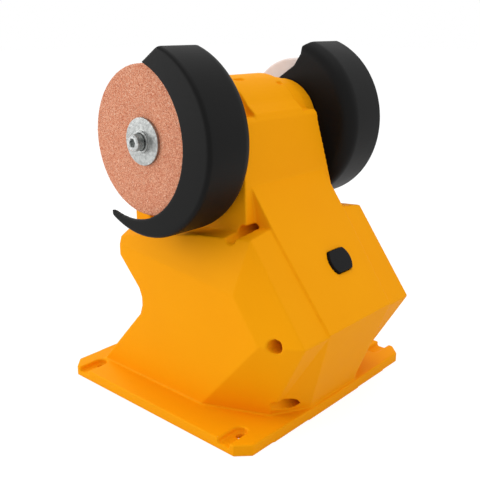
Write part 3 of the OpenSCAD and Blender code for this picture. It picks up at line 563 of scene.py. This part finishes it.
# %% Scatter the grit
def grit_tree():
    tree = Tree("wheel_grit")
    density = tree.size("Grains per area")
    small = tree.size("Smallest grain")
    large = tree.size("Largest grain")
    material = tree.size("Finish", "NodeSocketMaterial")
    wheel = tree.start.outputs["Geometry"]
    points = tree.add("GeometryNodeDistributePointsOnFaces", inputs={"Mesh": wheel,
        "Density": density, "Seed": 7}, output="Points")
    grain = tree.add("GeometryNodeMeshIcoSphere", inputs={"Radius": 1.0, "Subdivisions": 1})
    spread = tree.add("FunctionNodeRandomValue", {"data_type": "FLOAT"},
        {2: small, 3: large, "Seed": 11}, 1)
    full_turn = 6.28
    turn = tree.add("FunctionNodeRandomValue", {"data_type": "FLOAT_VECTOR"},
        {0: (0, 0, 0), 1: (full_turn, full_turn, full_turn), "Seed": 13}, 0)
    grains = tree.add("GeometryNodeInstanceOnPoints", inputs={"Points": points,
        "Instance": grain, "Rotation": turn, "Scale": spread})
    return tree.close(tree.join(wheel, grains), material)


wheel_edge = 0.6 * MM
grit_wheel = ring_piece("grinding_wheel_grit", plain_ring(*ring_sizes("grinding_wheel")),
    wheel_edge, (-1,))
grown(grit_wheel, grit_tree(), {"Grains per area": 0.45e6, "Smallest grain": 0.12 * MM,
    "Largest grain": 0.26 * MM, "Finish": abrasive})
dress(grit_wheel, abrasive, "rotor", "abrasive", "grinding_wheel")
print("grit wheel faces:", len(grit_wheel.data.polygons))

# %% [markdown]
# Knurled socket screws
# The screw in each spindle end is a cap screw: a round head with fine ribs round it and
# a hexagon socket. The plain head is built from its profile and the hexagon, and
# Geometry Nodes stand the ribs round it, so their count and depth stay easy to change.


# %% Screw head with a hexagon socket
def socket_head(work, side, seat, top, head_r, hex_r, deep, edge):
    """Adds one closed head to the mesh: round wall, chamfered rim and six-sided socket."""
    count = 48
    lead_in = 0.25 * MM
    levels = [(seat, head_r), (top - edge, head_r), (top, head_r - edge)]

    def loop(x, radius, hexagon=False):
        verts = []
        for k in range(count):
            angle = 2 * math.pi * k / count
            reach = radius
            if hexagon:
                sector = (angle % (math.pi / 3)) - math.pi / 6
                reach = radius * math.cos(math.pi / 6) / math.cos(sector)
            verts.append(work.verts.new((side * x, reach * math.cos(angle),
                spindle_height + reach * math.sin(angle))))
        return verts

    loops = [loop(x, r) for x, r in levels]
    loops.append(loop(top, hex_r + lead_in, True))
    loops.append(loop(top - lead_in, hex_r, True))
    loops.append(loop(top - deep, hex_r, True))
    for first, second in zip(loops, loops[1:]):
        for k in range(count):
            n = (k + 1) % count
            work.faces.new((first[k], first[n], second[n], second[k]))
    work.faces.new(loops[0])
    work.faces.new(loops[-1])


# %% Ribs round the head
def rib_tree():
    tree = Tree("knurl_ribs")
    count = tree.size("Rib count", "NodeSocketInt")
    radius = tree.size("Head radius")
    rib_r = tree.size("Rib radius")
    length = tree.size("Rib length")
    middle = tree.size("Rib middle")
    height = tree.size("Axis height")
    material = tree.size("Finish", "NodeSocketMaterial")
    ring = tree.add("GeometryNodeMeshCircle", inputs={"Vertices": count, "Radius": radius})
    points = tree.add("GeometryNodeMeshToPoints", inputs={"Mesh": ring})
    place = tree.add("GeometryNodeInputPosition")
    facing = tree.add("FunctionNodeAlignRotationToVector", {"axis": "X"}, {"Vector": place})
    rib = tree.add("GeometryNodeMeshCylinder", inputs={"Vertices": 4, "Radius": rib_r,
        "Depth": length})
    ribs = tree.add("GeometryNodeInstanceOnPoints", inputs={"Points": points, "Instance": rib,
        "Rotation": facing})
    both = []
    for side in (-1, 1):
        reach = tree.add("ShaderNodeMath", {"operation": "MULTIPLY"}, {0: middle, 1: side})
        shift = tree.add("ShaderNodeCombineXYZ", inputs={"X": reach, "Z": height})
        both.append(tree.add("GeometryNodeTransform", inputs={"Geometry": ribs,
            "Translation": shift, "Rotation": (0, math.pi / 2, 0)}))
    return tree.close(tree.join(tree.start.outputs["Geometry"], *both), material)


# %% Build both arbor screws
head_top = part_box("arbor_screws")[1].x
head_edge = 0.5 * MM
hex_r = 2.3 * MM
hex_deep = 3.0 * MM
rib_r = 0.22 * MM
rib_start = washer_face + 0.3 * MM
rib_length = (head_top - washer_face) - 1.0 * MM
work = bmesh.new()
for side in (-1, 1):
    socket_head(work, side, washer_face, head_top, head_r - rib_r, hex_r, hex_deep, head_edge)
bmesh.ops.recalc_face_normals(work, faces=work.faces)
mesh = bpy.data.meshes.new("arbor_screws_knurled")
work.to_mesh(mesh)
work.free()
screws = finished("arbor_screws_knurled", mesh)
grown(screws, rib_tree(), {"Rib count": 60, "Head radius": head_r - rib_r, "Rib radius": rib_r,
    "Rib length": rib_length, "Rib middle": rib_start + rib_length / 2,
    "Axis height": spindle_height, "Finish": bright_zinc})
dress(screws, bright_zinc, "rotor", "zinc_steel", "arbor_screws")
print("arbor screws, faces:", len(screws.data.polygons))

# %% [markdown]
# Everything else keeps its CAD mesh
# Bearings, motor, board and screws are already the right shape, and most sit inside.
# They still get real finishes, because a cut-open or see-through view shows them.

# %% Finishes for the CAD pieces that stay
cad_finishes = {
    "housing_screws": steel, "motor_can": steel, "motor_magnets": ferrite, "drive_cap": alloy,
    "brush_cap": alloy, "brush_holders": brass, "carbon_brushes": carbon, "motor_tabs": brass,
    "outer_races": steel, "inner_races": steel, "bearing_balls": steel, "spindle": steel,
    "rotor_core": steel, "rotor_windings": copper, "commutator": copper,
    "inner_flanges": steel, "guard_screws": steel, "switch_body": dock_black,
    "dock_screws": steel, "terminal_block": dock_black, "terminal_blades": brass,
    "control_board": board_green, "board_parts": board_dark, "board_screws": steel,
    "wires_red": red_rubber, "wires_black": black_rubber}
for name, finish in cad_finishes.items():
    nodes[name].data.materials.clear()
    nodes[name].data.materials.append(finish)
print("CAD pieces finished:", len(cad_finishes))

# %% [markdown]
# Camera, floor and light
# The camera stands where the photograph was taken, worked out from the body's edges.
# The floor and the world are white to the camera and to reflections, so the tool sits
# on a white sweep, while the lamps stay at a plain level that keeps the colours true.

# %% Camera
camera_place = Vector((-0.2940, -0.2671, 0.2016))
camera_turn = math.radians(312.156)
camera_tilt = math.radians(16.862)
camera_roll = math.radians(-0.232)
lens_mm = 52.51

back = Vector((math.sin(camera_turn) * math.cos(camera_tilt),
    -math.cos(camera_turn) * math.cos(camera_tilt), math.sin(camera_tilt)))
level = Vector((math.cos(camera_turn), math.sin(camera_turn), 0))
upright = back.cross(level)
right = math.cos(camera_roll) * level + math.sin(camera_roll) * upright
up = math.cos(camera_roll) * upright - math.sin(camera_roll) * level
lens = bpy.data.cameras.new("camera")
lens.sensor_width = 36
lens.lens = lens_mm
lens.clip_start = 0.01
camera = bpy.data.objects.new("camera", lens)
facing = Matrix((right, up, back)).transposed().to_4x4()
camera.matrix_world = Matrix.Translation(camera_place) @ facing
bpy.context.scene.collection.objects.link(camera)
bpy.context.scene.camera = camera
print("camera at", [round(c, 3) for c in camera_place])


# %% Floor that looks white
def seen_directly(tree):
    """1 for rays from the camera, a reflection or glass, else 0."""
    path = tree.nodes.new("ShaderNodeLightPath")
    total = path.outputs["Is Camera Ray"]
    for name in ("Is Glossy Ray", "Is Transmission Ray"):
        most = tree.nodes.new("ShaderNodeMath")
        most.operation = "MAXIMUM"
        tree.links.new(total, most.inputs[0])
        tree.links.new(path.outputs[name], most.inputs[1])
        total = most.outputs[0]
    return total


def white_floor(share, strength, paper_white=0.86):
    """Matte paper that shows a share of its own glow to the camera and to reflections."""
    material = bpy.data.materials.new("white_floor")
    material.use_nodes = True
    tree = material.node_tree
    tree.nodes.clear()
    paper = tree.nodes.new("ShaderNodeBsdfDiffuse")
    paper.inputs["Color"].default_value = (paper_white, paper_white, paper_white, 1)
    glow = tree.nodes.new("ShaderNodeEmission")
    glow.inputs["Strength"].default_value = strength
    amount = tree.nodes.new("ShaderNodeMath")
    amount.operation = "MULTIPLY"
    amount.inputs[1].default_value = share
    tree.links.new(seen_directly(tree), amount.inputs[0])
    mixed = tree.nodes.new("ShaderNodeMixShader")
    tree.links.new(amount.outputs[0], mixed.inputs[0])
    tree.links.new(paper.outputs[0], mixed.inputs[1])
    tree.links.new(glow.outputs[0], mixed.inputs[2])
    out = tree.nodes.new("ShaderNodeOutputMaterial")
    tree.links.new(mixed.outputs[0], out.inputs[0])
    return material


floor_mesh = bpy.data.meshes.new("floor")
reach = 6.0
floor_mesh.from_pydata([(-reach, -reach, 0), (reach, -reach, 0), (reach, reach, 0),
    (-reach, reach, 0)], [], [(0, 1, 2, 3)])
floor_mesh.materials.append(white_floor(share=0.75, strength=1.18))
floor = bpy.data.objects.new("floor", floor_mesh)
bpy.context.scene.collection.objects.link(floor)
print("floor reaches in metres:", reach)

# %% World
world = bpy.data.worlds.new("studio")
bpy.context.scene.world = world
world.use_nodes = True
sky = world.node_tree.nodes["Background"]
direct = seen_directly(world.node_tree)
ambient = 0.71
strength = world.node_tree.nodes.new("ShaderNodeMath")
strength.operation = "MULTIPLY_ADD"
strength.inputs[1].default_value = 1 - ambient
strength.inputs[2].default_value = ambient
world.node_tree.links.new(direct, strength.inputs[0])
world.node_tree.links.new(strength.outputs[0], sky.inputs["Strength"])
sky.inputs["Color"].default_value = (1, 1, 1, 1)
print("world lights the object at", ambient)


# %% Soft lamps
def soft_lamp(name, place, target, width, watts):
    data = bpy.data.lights.new(name, "AREA")
    data.shape = "SQUARE"
    data.size = width
    data.energy = watts
    lamp = bpy.data.objects.new(name, data)
    lamp.location = place
    lamp.rotation_euler = (Vector(target) - Vector(place)).to_track_quat("-Z", "Y").to_euler()
    bpy.context.scene.collection.objects.link(lamp)
    return lamp


middle = (0, 0, 0.09)
soft_lamp("side", (-0.72, 0.89, 0.45), middle, 0.7, 5.6)
soft_lamp("above", (0.0, -0.15, 1.2), middle, 0.8, 2.9)
soft_lamp("front", (0.55, -0.95, 0.6), middle, 0.8, 1.0)
soft_lamp("rim", (0.3, 0.8, 0.8), middle, 0.6, 2.0)
print("lamps:", ", ".join(light.name for light in bpy.data.lights))

# %% [markdown]
# Standard view keeps the colours as written.

# %% Finish
bpy.context.scene.view_settings.view_transform = "Standard"
